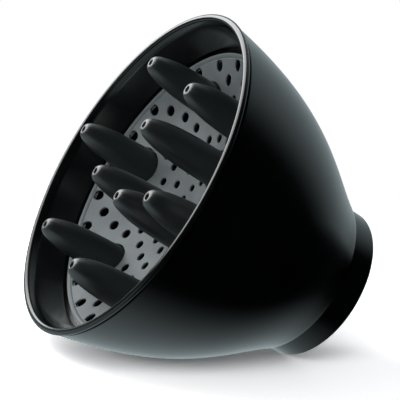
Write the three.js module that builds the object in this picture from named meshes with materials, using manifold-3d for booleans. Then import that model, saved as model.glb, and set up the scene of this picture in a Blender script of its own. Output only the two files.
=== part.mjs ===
// Diffuser attachment for a hair dryer, in millimetres.
// The axis is +Z. The collar's rear face lies on z = 0 and the bell opens upwards.

import * as THREE from 'three';
import { mergeVertices } from 'three/addons/utils/BufferGeometryUtils.js';
import Module from 'manifold-3d';

const wasm = await Module();
wasm.setup();

// ---- driving dimensions ----

const GAP = 0.35;               // clearance between neighbouring pieces
const ROUND_SIDES = 36;         // sides of every large turned piece

const RIM_RADIUS = 70;          // outside of the rolled rim
const RIM_BEAD_Z = 100.5;       // centre height of the rim's bead
const RIM_BEAD_RADIUS = 1.15;   // radius of the bead's section
const RIM_SHOULDER_RADIUS = 68.3;                     // where the bead starts, over the bell's edge
const RIM_LEDGE = [[67.5, 99.6], [66.5, 99.2]];       // (radius, z) of the small step inside the bead
const RIM_WALL = [[65.4, 94.2], [63.6, 86.2]];        // (radius, z) of the inner wall above the dish
const RIM_SEAT_RADIUS = 60.8;   // shelf that carries the dish
const RIM_SEAT_Z = [81.8, 83.1];
const RIM_SKIRT_RADIUS = 62.2;  // inside of the skirt below the shelf
const RIM_SKIRT_TOP_Z = 81.4;

const BELL_TOP_Z = 98.5;
const BELL_REAR_Z = 12.2;
const BELL_REAR_RADIUS = 36;
const BELL_WALL = 1.75;
const BELL_LIP_RADIUS = 34;     // opening in the bell's neck for the collar
const BELL_LIP_TOP_Z = 14.2;

const COLLAR_RADIUS = 33.67;
const COLLAR_BORE = 31.4;
const COLLAR_MOUTH = 0.6;       // widening of the bore at the rear face
const COLLAR_CHAMFER = 0.5;
const COLLAR_FLANGE_RADIUS = 34.9;
const COLLAR_FLANGE_Z = [14.6, 16.2];
const COLLAR_TOP_Z = 18.6;
const COLLAR_THROAT_RADIUS = 27.4;
const COLLAR_THROAT_OUTSIDE = 31;
const COLLAR_STOP_Z = 14.9;     // where the dryer's nozzle ends
const RETAINER_RADIUS = [31.5, 36.1];
const RETAINER_THICKNESS = 1.8;

const DISH_CENTRE_Z = 68;       // front face of the dish on the axis
const DISH_SPHERE = 118;        // radius of its front face
const DISH_WALL = 1.2;
const DISH_RADIUS = 61.7;
const DISH_LIP_WIDTH = 1.8;
const DISH_LIP_HEIGHT = 0.35;   // step up from the dish to the lip's inner edge
const DISH_LIP_CROWN = [0.5, 0.7];                    // rise of the lip's two outer corners above that

const FINGER_TIP_RADIUS = 3;
const FINGER_BASE_RADIUS = 7.4;
const FINGER_TAPER = 9;         // depth below the tip over which the finger swells
const FINGER_WALL = 1.5;
const FINGER_HOLE_RADIUS = 1.25;
const FINGER_HOLE_DEPTH = 1.8;
const FINGER_FLAT_RADIUS = 2.1; // flat ring round the hole in the tip
const FINGER_DEPTHS = [0.7, 3.5, 9, 18];              // steps of the outside below the tip
const FINGER_HOLLOW_DEPTHS = [4, 13];                 // steps of the hollow below the tip
const FINGER_SIDES = 10;
const FINGER_FLANGE_RADIUS = 8.4;
const FINGER_FLANGE_THICKNESS = 1.2;
const FINGER_FLANGE_SIDES = 12;
const OUTER_FINGERS = { radius: 45, tipZ: 108.6, footZ: 71, angles: [0, 60, 120, 180, 240, 300] };
const INNER_FINGERS = { radius: 18, tipZ: 105.8, footZ: 65.4, angles: [90, 210, 330] };

const TAB_ANGLES = [45, 135, 225, 315];
const TAB_WIDTH = 11;
const TAB_FOOT_Z = 2.4;
const TAB_OUTSIDE = 29.9;       // radii of the tab's curved strip, and of its hook
const TAB_INSIDE_TOP = 28.6;
const TAB_INSIDE_FOOT = 28.9;
const TAB_HOOK_RADIUS = 27.2;
const TAB_HOOK_Z = [4.2, 5.4, 7.2];                   // foot, crest and end of the hook
const SCREW_ANGLES = [0, 120, 240];
const BOSS_RADIUS = 3.2;
const PILOT_RADIUS = 1.8;
const SCREW_RADIUS = 1.45;
const SCREW_HEAD_RADIUS = 2.8;
const SCREW_HEAD_HEIGHT = 1.8;
const SCREW_HEAD_BEVEL = [0.7, 0.5];                  // radial and axial
const BORE_SIDES = 10;

const PLATE_SCREW_RADIUS = 57.2;    // distance of the dish's screws from the axis
const PLATE_SCREW_LENGTH = 4.9;
const PLATE_PILOT_DEPTH = 3.2;
const LUG_Z = [76.5, 78.3];
const LUG_ROOT_RADIUS = 62.8;       // where a lug joins the rim's skirt
const LUG_WIDTH = 7;                // of the rim's lugs and the baffle's arms
const BAFFLE_SCREW_RADIUS = 42;
const BAFFLE_SCREW_ANGLES = [30, 150, 270];
const BAFFLE_SCREW_LENGTH = 8.4;
const BAFFLE_PILOT_DEPTH = 7;
const BAFFLE_ARM_Z = [36.3, 38.1];
const BAFFLE_ARM_ROOT = 22;         // where an arm joins the baffle's dish
const BAFFLE_RADIUS = 24;
const BAFFLE_NOSE = [[0, 5.5], [6, 5]];               // radius, and depth below the arms
const BAFFLE_NOSE_INSIDE = 5.5;     // radius of the nose's inner corner

const INNER_GAPS = [30, 150, 270];  // middles of the gaps between the inner fingers

// Rings of air holes in the dish: ring radius, hole radius and the angles of the holes.
const AIR_RINGS = [
  { radius: 11.55, hole: 1.4, angles: everyDegrees(30).filter((a) => a % 120 !== 90) },
  { radius: 21.25, hole: 1.65, angles: around(INNER_GAPS, [-22.5, 0, 22.5]) },
  { radius: 29.85, hole: 1.65, angles: everyDegrees(15) },
  { radius: 37.65, hole: 1.9, angles: around(OUTER_FINGERS.angles, [15, 30, 45]) },
  { radius: 45.05, hole: 2, angles: around(OUTER_FINGERS.angles, [22.5, 37.5]) },
  { radius: 52.1, hole: 2.1, angles: around(OUTER_FINGERS.angles, [15, 30, 45]) },
  { radius: 57.8, hole: 2.2, angles: everyDegrees(15, 7.5) },
];
const AIR_HOLE_SIDES = 6;
const FINGER_HOLE_SIDES = 14;
const HOLE_REACH = 8;           // half the length of the tools that cut the holes

// ---- materials ----

const plastic = (color, roughness) => new THREE.MeshStandardMaterial({ color, roughness, metalness: 0 });
const glossBlack = plastic(0x0b0d0d, 0.22);
const satinBlack = plastic(0x101212, 0.4);
const charcoal = plastic(0x151a1a, 0.55);
const dullBlack = plastic(0x17191a, 0.6);
const silver = new THREE.MeshStandardMaterial({ color: 0x74797b, roughness: 0.42, metalness: 0.6 });
const steel = new THREE.MeshStandardMaterial({ color: 0xa8abad, roughness: 0.3, metalness: 1 });

// ---- helpers ----

function everyDegrees(step, start = 0) {
  return Array.from({ length: 360 / step }, (_, i) => start + i * step);
}

function around(centres, offsets) {
  return centres.flatMap((centre) => offsets.map((offset) => centre + offset));
}

function polar(radius, degrees, z = 0) {
  const angle = THREE.MathUtils.degToRad(degrees);
  return new THREE.Vector3(radius * Math.cos(angle), radius * Math.sin(angle), z);
}

// Turns a closed (radius, z) outline, given counter-clockwise, about the Z axis.
function turned(outline, sides = ROUND_SIDES) {
  const points = outline.map(([radius, z]) => new THREE.Vector2(radius, z));
  if (outline[0][0] > 0) points.push(points[0].clone());
  return new THREE.LatheGeometry(points, sides).rotateX(Math.PI / 2);
}

function cylinder(radius, low, high, sides = BORE_SIDES) {
  return turned([[0, low], [radius, low], [radius, high], [0, high]], sides);
}

function box(size, centre) {
  return new THREE.BoxGeometry(...size).translate(...centre);
}

// A solid for joining and cutting, from a closed geometry.
function solid(geometry) {
  const bare = geometry.clone();
  bare.deleteAttribute('normal');
  bare.deleteAttribute('uv');
  const merged = mergeVertices(bare, 1e-4);
  const index = merged.index.array;
  const corners = [];
  for (let i = 0; i < index.length; i += 3) {
    const [a, b, c] = [index[i], index[i + 1], index[i + 2]];
    if (a !== b && b !== c && c !== a) corners.push(a, b, c);
  }
  const vertProperties = new Float32Array(merged.attributes.position.array);
  const triVerts = new Uint32Array(corners);
  return new wasm.Manifold(new wasm.Mesh({ numProp: 3, vertProperties, triVerts }));
}

// Adds a flat arm that runs along a radius from root to tip, with a screw hole in its round end.
function addScrewArm(body, angle, root, tip, [low, high]) {
  const turn = THREE.MathUtils.degToRad(angle);
  const size = [Math.abs(tip - root), LUG_WIDTH, high - low];
  const arm = box(size, [(root + tip) / 2, 0, (low + high) / 2]).rotateZ(turn);
  const at = polar(tip, angle);
  const end = cylinder(LUG_WIDTH / 2, low, high).translate(at.x, at.y, 0);
  const hole = cylinder(PILOT_RADIUS, low - 1, high + 1).translate(at.x, at.y, 0);
  return body.add(solid(arm)).add(solid(end)).subtract(solid(hole));
}

function geometryOf(body) {
  const mesh = body.getMesh();
  const geometry = new THREE.BufferGeometry();
  geometry.setAttribute('position', new THREE.BufferAttribute(new Float32Array(mesh.vertProperties), 3));
  geometry.setIndex(new THREE.BufferAttribute(new Uint32Array(mesh.triVerts), 1));
  return geometry;
}

function addMesh(group, name, body, material) {
  const mesh = new THREE.Mesh(geometryOf(body), material);
  mesh.name = name;
  group.add(mesh);
  return mesh;
}

// ---- shared curves ----

const bellCurve = new THREE.CubicBezierCurve(
  new THREE.Vector2(69.35, 99.7),
  new THREE.Vector2(64.05, 49.2),
  new THREE.Vector2(47.75, 34.4),
  new THREE.Vector2(BELL_REAR_RADIUS, BELL_REAR_Z),
);

// The curve's parameter at a height, by halving.
function bellParameter(z) {
  let low = 0;
  let high = 1;
  while (high - low > 1e-6) {
    const middle = (low + high) / 2;
    if (bellCurve.getPoint(middle).y > z) low = middle;
    else high = middle;
  }
  return low;
}

// Points of the bell's curve moved inwards, from one height up to another.
function bellPoints(lowZ, highZ, inset, count) {
  const from = bellParameter(lowZ);
  const to = bellParameter(highZ);
  const points = [];
  for (let i = 0; i <= count; i += 1) {
    const t = from + (to - from) * (i / count);
    const point = bellCurve.getPoint(t);
    const tangent = bellCurve.getTangent(t);
    points.push([point.x + inset * tangent.y, point.y - inset * tangent.x]);
  }
  return points;
}

// Height of a sphere that is concentric with the dish's front face.
function dishZ(radius, depth = 0) {
  const sphere = DISH_SPHERE + depth;
  return DISH_CENTRE_Z + DISH_SPHERE - Math.sqrt(sphere * sphere - radius * radius);
}

// ---- pieces ----

function bellShell() {
  const outside = bellPoints(BELL_REAR_Z, BELL_TOP_Z, 0, 9);
  const inside = bellPoints(BELL_LIP_TOP_Z + BELL_WALL / 2, BELL_TOP_Z, BELL_WALL, 6).reverse();
  const innerRear = inside[inside.length - 1][0];
  const wall = [
    ...outside,
    ...inside,
    [innerRear, BELL_LIP_TOP_Z],
    [BELL_LIP_RADIUS, BELL_LIP_TOP_Z],
    [BELL_LIP_RADIUS, BELL_REAR_Z],
  ];
  let body = solid(turned(wall));
  const filled = solid(turned([[0, BELL_REAR_Z], ...outside, [0, BELL_TOP_Z]]));
  for (const angle of BAFFLE_SCREW_ANGLES) {
    const at = polar(BAFFLE_SCREW_RADIUS, angle);
    const top = BAFFLE_ARM_Z[0] - GAP;
    const boss = solid(cylinder(BOSS_RADIUS, BELL_REAR_Z, top).translate(at.x, at.y, 0));
    const bore = cylinder(PILOT_RADIUS, top - BAFFLE_PILOT_DEPTH, top + 1);
    const pilot = solid(bore.translate(at.x, at.y, 0));
    body = body.add(boss.intersect(filled)).subtract(pilot);
  }
  return body;
}

function rimRing() {
  const beadRadius = RIM_RADIUS - RIM_BEAD_RADIUS;
  const bead = [];
  for (let degrees = -60; degrees <= 180; degrees += 60) {
    const angle = THREE.MathUtils.degToRad(degrees);
    const radius = beadRadius + RIM_BEAD_RADIUS * Math.cos(angle);
    bead.push([radius, RIM_BEAD_Z + RIM_BEAD_RADIUS * Math.sin(angle)]);
  }
  const skirtInset = BELL_WALL + GAP;
  const outside = bellPoints(LUG_Z[0], BELL_TOP_Z, skirtInset, 2);
  const [seatLow, seatHigh] = RIM_SEAT_Z;
  const wallFoot = RIM_WALL[RIM_WALL.length - 1][0];
  const outline = [
    ...outside,
    [RIM_SHOULDER_RADIUS, BELL_TOP_Z + GAP],
    ...bead,
    ...RIM_LEDGE,
    ...RIM_WALL,
    [wallFoot, seatHigh],
    [RIM_SEAT_RADIUS, seatHigh],
    [RIM_SEAT_RADIUS, seatLow],
    [RIM_SKIRT_RADIUS, RIM_SKIRT_TOP_Z],
    [RIM_SKIRT_RADIUS, LUG_Z[0]],
  ];
  let body = solid(turned(outline));
  for (const angle of SCREW_ANGLES) {
    body = addScrewArm(body, angle, LUG_ROOT_RADIUS, PLATE_SCREW_RADIUS, LUG_Z);
  }
  return body;
}

function diffuserPlate() {
  const lipInner = DISH_RADIUS - DISH_LIP_WIDTH;
  const rings = [0, 17, 33.5, 48.5, lipInner];
  const front = rings.map((radius) => [radius, dishZ(radius)]).reverse();
  const back = rings.map((radius) => [radius, dishZ(radius, DISH_WALL)]);
  const lipTop = dishZ(lipInner) + DISH_LIP_HEIGHT;
  const outline = [
    ...back,
    [DISH_RADIUS, dishZ(DISH_RADIUS, DISH_WALL)],
    [DISH_RADIUS, lipTop + DISH_LIP_CROWN[0]],
    [DISH_RADIUS - 0.4, lipTop + DISH_LIP_CROWN[1]],
    [lipInner, lipTop],
    ...front,
  ];
  const foot = LUG_Z[1] + GAP;
  const middle = rings.map((radius) => [radius, (dishZ(radius) + dishZ(radius, DISH_WALL)) / 2]);
  const behind = solid(turned([[0, 0], [lipInner, 0], ...middle.reverse()]));
  let body = solid(turned(outline));
  for (const angle of SCREW_ANGLES) {
    const at = polar(PLATE_SCREW_RADIUS, angle);
    const boss = solid(cylinder(BOSS_RADIUS, foot, lipTop).translate(at.x, at.y, 0));
    const pilot = cylinder(PILOT_RADIUS, foot - 1, foot + PLATE_PILOT_DEPTH).translate(at.x, at.y, 0);
    body = body.add(boss.intersect(behind)).subtract(solid(pilot));
  }
  const cutters = [];
  for (const ring of AIR_RINGS) {
    for (const angle of ring.angles) {
      const at = polar(ring.radius, angle);
      const z = dishZ(ring.radius);
      const hole = cylinder(ring.hole, z - HOLE_REACH, z + HOLE_REACH, AIR_HOLE_SIDES);
      cutters.push(solid(hole.translate(at.x, at.y, 0)));
    }
  }
  for (const ring of [OUTER_FINGERS, INNER_FINGERS]) {
    for (const angle of ring.angles) {
      const at = polar(ring.radius, angle);
      const z = dishZ(ring.radius);
      const radius = FINGER_BASE_RADIUS + GAP;
      const hole = cylinder(radius, z - HOLE_REACH, z + HOLE_REACH, FINGER_HOLE_SIDES);
      cutters.push(solid(hole.translate(at.x, at.y, 0)));
    }
  }
  return body.subtract(wasm.Manifold.union(cutters));
}

// The finger's radius at a depth below its tip.
function fingerRadius(depth) {
  const swell = 1 - Math.exp(-depth / FINGER_TAPER);
  return FINGER_TIP_RADIUS + (FINGER_BASE_RADIUS - FINGER_TIP_RADIUS) * swell;
}

// A hollow finger standing on the dish at ring.radius from the axis, before it is turned to its angle.
function finger(ring) {
  const length = ring.tipZ - ring.footZ;
  const depths = [...FINGER_DEPTHS, length];
  const side = depths.map((depth) => [fingerRadius(depth), ring.tipZ - depth]).reverse();
  const outline = [[0, ring.footZ], ...side, [FINGER_FLAT_RADIUS, ring.tipZ], [0, ring.tipZ]];
  const hollowDepths = [...FINGER_HOLLOW_DEPTHS, length + 1];
  const hollowSide = hollowDepths.map((depth) => [fingerRadius(depth) - FINGER_WALL, ring.tipZ - depth]);
  const hollow = [
    [0, ring.footZ - 1],
    ...hollowSide.reverse(),
    [FINGER_HOLE_RADIUS, ring.tipZ - FINGER_HOLE_DEPTH],
    [FINGER_HOLE_RADIUS, ring.tipZ + 1],
    [0, ring.tipZ + 1],
  ];
  const tilt = Math.asin(ring.radius / DISH_SPHERE);
  const reach = DISH_SPHERE + DISH_WALL + GAP;
  const low = -reach - FINGER_FLANGE_THICKNESS;
  const flange = cylinder(FINGER_FLANGE_RADIUS, low, -reach, FINGER_FLANGE_SIDES);
  flange.rotateY(-tilt).translate(-ring.radius, 0, DISH_CENTRE_Z + DISH_SPHERE);
  const body = solid(turned(outline, FINGER_SIDES));
  return body.add(solid(flange)).subtract(solid(turned(hollow, FINGER_SIDES)));
}

function collar() {
  const [flangeLow, flangeHigh] = COLLAR_FLANGE_Z;
  return solid(turned([
    [COLLAR_BORE + COLLAR_MOUTH, 0],
    [COLLAR_RADIUS - COLLAR_CHAMFER, 0],
    [COLLAR_RADIUS, COLLAR_CHAMFER],
    [COLLAR_RADIUS, flangeLow],
    [COLLAR_FLANGE_RADIUS, flangeLow],
    [COLLAR_FLANGE_RADIUS, flangeHigh],
    [COLLAR_THROAT_OUTSIDE, flangeHigh],
    [COLLAR_THROAT_OUTSIDE, COLLAR_TOP_Z],
    [COLLAR_THROAT_RADIUS, COLLAR_TOP_Z],
    [COLLAR_THROAT_RADIUS, COLLAR_STOP_Z],
    [COLLAR_BORE, COLLAR_STOP_Z],
    [COLLAR_BORE, COLLAR_MOUTH],
  ]));
}

function latchTab() {
  const top = COLLAR_STOP_Z - GAP;
  const [hookFoot, hookCrest, hookEnd] = TAB_HOOK_Z;
  const ring = turned([
    [TAB_INSIDE_FOOT, TAB_FOOT_Z],
    [TAB_OUTSIDE, TAB_FOOT_Z],
    [TAB_OUTSIDE, top],
    [TAB_INSIDE_TOP, top],
    [TAB_INSIDE_TOP, hookEnd],
    [TAB_HOOK_RADIUS, hookCrest],
    [TAB_HOOK_RADIUS, hookFoot],
  ]);
  const keep = box([TAB_WIDTH, TAB_WIDTH, 2 * top], [TAB_OUTSIDE, 0, top]);
  return solid(ring).intersect(solid(keep));
}

function retainingRing() {
  const low = COLLAR_FLANGE_Z[1] + GAP;
  const high = low + RETAINER_THICKNESS;
  const [inside, outside] = RETAINER_RADIUS;
  return solid(turned([[inside, low], [outside, low], [outside, high], [inside, high]]));
}

function airBaffle() {
  const [low, high] = BAFFLE_ARM_Z;
  const [[noseRadius, noseDepth], [cornerRadius, cornerDepth]] = BAFFLE_NOSE;
  let body = solid(turned([
    [noseRadius, low - noseDepth],
    [cornerRadius, low - cornerDepth],
    [BAFFLE_RADIUS, low],
    [BAFFLE_RADIUS, high],
    [BAFFLE_NOSE_INSIDE, high - cornerDepth],
    [noseRadius, high - noseDepth],
  ]));
  for (const angle of BAFFLE_SCREW_ANGLES) {
    body = addScrewArm(body, angle, BAFFLE_ARM_ROOT, BAFFLE_SCREW_RADIUS, BAFFLE_ARM_Z);
  }
  return body;
}

// A pan-head screw whose head bears at z = 0, with its shank pointing down.
function screw(length) {
  const [bevelWidth, bevelHeight] = SCREW_HEAD_BEVEL;
  return solid(turned([
    [0, -length],
    [SCREW_RADIUS, -length],
    [SCREW_RADIUS, 0],
    [SCREW_HEAD_RADIUS, 0],
    [SCREW_HEAD_RADIUS, SCREW_HEAD_HEIGHT - bevelHeight],
    [SCREW_HEAD_RADIUS - bevelWidth, SCREW_HEAD_HEIGHT],
    [0, SCREW_HEAD_HEIGHT],
  ], BORE_SIDES));
}

// ---- assembly ----

const diffuser = new THREE.Group();

addMesh(diffuser, 'collar', collar(), glossBlack);
TAB_ANGLES.forEach((angle, i) => {
  const tab = addMesh(diffuser, `latch_tab_${i + 1}`, latchTab(), dullBlack);
  tab.rotation.z = THREE.MathUtils.degToRad(angle);
});

const bell = new THREE.Group();
diffuser.add(bell);
addMesh(bell, 'bell_shell', bellShell(), glossBlack);
addMesh(bell, 'retaining_ring', retainingRing(), dullBlack);
addMesh(bell, 'rim_ring', rimRing(), satinBlack);
addMesh(bell, 'diffuser_plate', diffuserPlate(), silver);

function addFingers(label, ring) {
  ring.angles.forEach((angle, i) => {
    const piece = addMesh(bell, `finger_${label}_${i + 1}`, finger(ring), charcoal);
    piece.position.copy(polar(ring.radius, angle));
    piece.rotation.z = THREE.MathUtils.degToRad(angle);
  });
}
addFingers('outer', OUTER_FINGERS);
addFingers('inner', INNER_FINGERS);

addMesh(bell, 'air_baffle', airBaffle(), dullBlack);
BAFFLE_SCREW_ANGLES.forEach((angle, i) => {
  const piece = addMesh(bell, `baffle_screw_${i + 1}`, screw(BAFFLE_SCREW_LENGTH), steel);
  piece.position.copy(polar(BAFFLE_SCREW_RADIUS, angle, BAFFLE_ARM_Z[1] + GAP));
});
SCREW_ANGLES.forEach((angle, i) => {
  const piece = addMesh(bell, `plate_screw_${i + 1}`, screw(PLATE_SCREW_LENGTH), steel);
  piece.position.copy(polar(PLATE_SCREW_RADIUS, angle, LUG_Z[0] - GAP));
  piece.rotation.x = Math.PI;
});

export default diffuser;
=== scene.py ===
"""Looks of a hair dryer's diffuser attachment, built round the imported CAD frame.

Lengths are in millimetres until a mesh is made, and the axis of the object is +Z.
"""

import math

import bmesh
import bpy
from mathutils import Matrix, Quaternion, Vector
from mathutils.geometry import delaunay_2d_cdt


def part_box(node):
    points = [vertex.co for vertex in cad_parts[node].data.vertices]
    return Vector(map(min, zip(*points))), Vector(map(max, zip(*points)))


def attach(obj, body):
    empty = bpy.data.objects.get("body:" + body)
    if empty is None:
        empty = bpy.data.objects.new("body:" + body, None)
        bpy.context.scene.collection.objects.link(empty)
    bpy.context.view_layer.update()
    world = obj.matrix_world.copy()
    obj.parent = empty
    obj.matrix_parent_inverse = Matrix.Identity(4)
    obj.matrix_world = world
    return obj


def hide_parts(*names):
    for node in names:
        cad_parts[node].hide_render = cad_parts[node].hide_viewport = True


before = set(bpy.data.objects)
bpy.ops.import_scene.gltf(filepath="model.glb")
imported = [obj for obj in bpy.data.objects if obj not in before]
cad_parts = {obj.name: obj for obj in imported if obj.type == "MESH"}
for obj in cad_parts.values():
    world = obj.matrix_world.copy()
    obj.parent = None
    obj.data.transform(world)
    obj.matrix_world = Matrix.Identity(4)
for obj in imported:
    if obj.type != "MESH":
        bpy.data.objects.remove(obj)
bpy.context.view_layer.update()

MM = 0.001


# ---- sizes taken from the frame ----


def low(node):
    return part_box(node)[0] / MM


def high(node):
    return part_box(node)[1] / MM


RIM_RADIUS = high("rim_ring").x
BELL_REAR_Z = low("bell_shell").z
BELL_TOP_Z = high("bell_shell").z
DISH_RADIUS = high("diffuser_plate").x
DISH_EDGE_Z = high("diffuser_plate").z
LUG_LOW_Z = low("rim_ring").z
COLLAR_TOP_Z = high("collar").z
FLANGE_RADIUS = high("collar").x
OUTER_TIP_Z = high("finger_outer_1").z
INNER_TIP_Z = high("finger_inner_1").z
OUTER_FOOT_Z = low("finger_outer_1").z
INNER_FOOT_Z = low("finger_inner_1").z
TAB_LOW_Z = low("latch_tab_1").z
TAB_HIGH_Z = high("latch_tab_1").z
RING_LOW_Z = low("retaining_ring").z
RING_HIGH_Z = high("retaining_ring").z
RING_RADIUS = high("retaining_ring").x
ARM_HIGH_Z = high("air_baffle").z

# ---- sizes shared with the CAD model ----
# A profile's corners are (radius, z), or (radius, z, fillet) where the corner is rounded.

GAP = 0.35                      # clearance between neighbouring pieces
ROUND = 192                     # sides of a large turned piece
SHARP_ANGLE = 32.0              # edges bent by more than this many degrees stay sharp
TINY = 1e-6

RIM_SIDES = 256
BEAD_RADIUS = 1.15              # half the height of the rim's bead
BEAD_REACH = 1.42               # half its width
BEAD_Z = 100.5
BEAD_TURNS = range(-60, 193, 9)  # degrees round the bead's section, from over the bell inwards
BEAD_FOOT_Z = 98.6              # the wall's finish starts here and ends at WALL_FOOT_Z
RIM_SHOULDER = (68.3, 0.1)      # radius where the bead starts over the bell's edge, and its fillet
RIM_LEDGE = [(66.92, 99.75), (66.62, 99.1)]         # small step inside the bead
RIM_WALL = [(66.25, 98.3), (64.95, 92.2), (63.6, 85.9)]    # inner wall: top, bend and foot
RIM_WALL_STEPS = 16
WALL_FOOT_Z = 83.2
RIM_SEAT_RADIUS = 60.8          # shelf that carries the dish
RIM_SEAT_Z = (81.8, 83.1)
RIM_SKIRT_RADIUS = 62.2         # inside of the skirt below the shelf
RIM_SKIRT_TOP_Z = 81.4

BELL_WALL = 1.75
BELL_CURVE = [(69.35, 99.7), (64.05, 49.2), (47.75, 34.4), (36.0, BELL_REAR_Z)]
BELL_STEPS = (72, 60)           # points on the bell's outside and inside
BELL_REAR_STEPS = 5             # points of the outside that the rounded rear edge replaces
BELL_LIP_RADIUS = 34.0
BELL_LIP_TOP_Z = 14.2

COLLAR_RADIUS = 33.67
COLLAR_BORE = 31.4
COLLAR_MOUTH = (32.2, 1.0)      # radius at the rear face, and depth of the widening
FLANGE_Z = (14.6, 16.2)
COLLAR_THROAT_RADIUS = 27.4
COLLAR_THROAT_OUTSIDE = 31.0
COLLAR_STOP_Z = 14.9            # where the dryer's nozzle ends
RETAINER_BORE = 31.5

DISH_CENTRE_Z = 68.0            # front face of the dish on the axis
DISH_SPHERE = 118.0             # radius of its front face
DISH_WALL = 1.2
DISH_LIP_WIDTH = 1.8
DISH_CREASE = 0.35              # from the lip's inner edge to the end of the front face
DISH_CHAMFER = 0.3              # round every hole
DISH_SIDES = 288
DISH_SPACING = 1.7              # between the points that carry the dish's faces
AIR_HOLE_SIDES = 24
FINGER_HOLE_SIDES = 72

FINGER_TIP_RADIUS = 3.0
FINGER_BASE_RADIUS = 7.4
FINGER_TAPER = 9.0              # depth below the tip over which the finger swells
FINGER_WALL = 1.5
FINGER_HOLE_RADIUS = 1.15       # of the hole in the tip
FINGER_HOLE_DEPTH = 1.7
FINGER_FLAT_RADIUS = 1.55       # flat ring round that hole
SHOULDER_RADIUS = 1.7           # where the rounded shoulder starts
TIP_ROUND = 3.0                 # its length
SHOULDER_STEPS = 8
FINGER_HOLLOW_DEPTH = 4         # top of the hollow below the tip
FINGER_STEPS = 26
FINGER_SIDES = 72
FINGER_FLANGE_BORE = 6.6
FINGER_FLANGE_RADIUS = 8.4
FINGER_FLANGE_THICKNESS = 1.2
FINGER_FLANGE_SIDES = 64
OUTER_FINGERS = {"radius": 45.0, "angles": [60 * i for i in range(6)]}
INNER_FINGERS = {"radius": 18.0, "angles": [90, 210, 330]}

SCREW_ANGLES = [0, 120, 240]
PLATE_SCREW_RADIUS = 57.2
PLATE_SCREW_LENGTH = 4.9
BAFFLE_SCREW_ANGLES = [30, 150, 270]
BAFFLE_SCREW_RADIUS = 42.0
BAFFLE_SCREW_LENGTH = 8.4
BOSS_RADIUS = 3.2
BOSS_EDGE = 0.3                 # chamfer round a boss's mouth
BOSS_SIDES = 40
PILOT_RADIUS = 1.8
BAFFLE_BORE = 7.0               # depths of the screws' blind bores
PLATE_BORE = 3.2
BORE_SIDES = 32
LUG_WALL = 1.8
LUG_ROOT_RADIUS = 62.8          # where a lug joins the rim's skirt
ARM_WALL = 1.8
ARM_ROOT = 22                   # where an arm joins the baffle's dish
ARM_HALF_WIDTH = 3.5            # of the rim's lugs too
ARM_END_STEPS = 16

BAFFLE_RADIUS = 24
BAFFLE_SIDES = 144
BAFFLE_NOSE_DEPTH = 5.5         # below the arms
BAFFLE_NOSE_EDGE = (6, 5)       # radius, and depth below the arms
BAFFLE_NOSE_INSIDE = 5.5        # radius of the nose's inner corner

SCREW_SIDES = 48
SCREW_PITCH = 0.8
SCREW_CORE = 1.15
SCREW_CREST = 1.45
SCREW_NECK = 1.4
SCREW_HEAD_RADIUS = 2.8
SCREW_HEAD_HEIGHT = 1.8
RECESS_BAR = (3.0, 0.6, 1.6)    # length, width and height of each bar of the cross recess
RECESS_Z = 1.7

TAB_ANGLES = [45, 135, 225, 315]
TAB_WIDTH = 11.0
TAB_OUTSIDE = 29.9              # radii of the tab's curved strip, and of its hook
TAB_MIDDLE = 29.0
TAB_INSIDE_TOP = 28.6
TAB_INSIDE_FOOT = 28.9
TAB_HOOK_RADIUS = 27.2
TAB_HOOK_Z = (4.2, 5.4, 7.2)    # foot, crest and end of the hook
TAB_STEPS = 14


def around(centres, offsets):
    return [centre + offset for centre in centres for offset in offsets]


INNER_GAPS = [30, 150, 270]     # middles of the gaps between the inner fingers

# Rings of air holes: ring radius, hole radius and the angles of the holes.
AIR_RINGS = [
    (11.55, 1.4, [30 * i for i in range(12) if (30 * i) % 120 != 90]),
    (21.25, 1.65, around(INNER_GAPS, [-22.5, 0, 22.5])),
    (29.85, 1.65, [15 * i for i in range(24)]),
    (37.65, 1.9, around(OUTER_FINGERS["angles"], [15, 30, 45])),
    (45.05, 2.0, around(OUTER_FINGERS["angles"], [22.5, 37.5])),
    (52.1, 2.1, around(OUTER_FINGERS["angles"], [15, 30, 45])),
    (57.8, 2.2, [15 * i + 7.5 for i in range(24)]),
]


# ---- mesh helpers ----


def polar(radius, degrees, z=0.0):
    angle = math.radians(degrees)
    return Vector((radius * math.cos(angle), radius * math.sin(angle), z))


def new_object(name, bm):
    """A smooth-shaded object in metres from a bmesh in millimetres."""
    bmesh.ops.scale(bm, vec=(MM, MM, MM), verts=bm.verts)
    bmesh.ops.recalc_face_normals(bm, faces=bm.faces)
    mesh = bpy.data.meshes.new(name)
    bm.to_mesh(mesh)
    bm.free()
    obj = bpy.data.objects.new(name, mesh)
    bpy.context.scene.collection.objects.link(obj)
    mesh.shade_smooth()
    mesh.set_sharp_from_angle(angle=math.radians(SHARP_ANGLE))
    return obj


def filleted(outline, steps=5):
    """A closed outline of (r, z) or (r, z, fillet) points, with its corners rounded."""
    longest = 0.49              # part of a side that a rounded corner may take
    points = []
    count = len(outline)
    for i, corner in enumerate(outline):
        here = Vector(corner[:2])
        fillet = corner[2] if len(corner) > 2 else 0.0
        if fillet <= 0:
            points.append(here)
            continue
        before = Vector(outline[i - 1][:2]) - here
        after = Vector(outline[(i + 1) % count][:2]) - here
        half = before.angle(after) / 2
        reach = min(fillet / math.tan(half), before.length * longest, after.length * longest)
        start = here + before.normalized() * reach
        end = here + after.normalized() * reach
        for step in range(steps + 1):
            t = step / steps
            points.append(start * (1 - t) ** 2 + here * 2 * t * (1 - t) + end * t * t)
    return points


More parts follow.
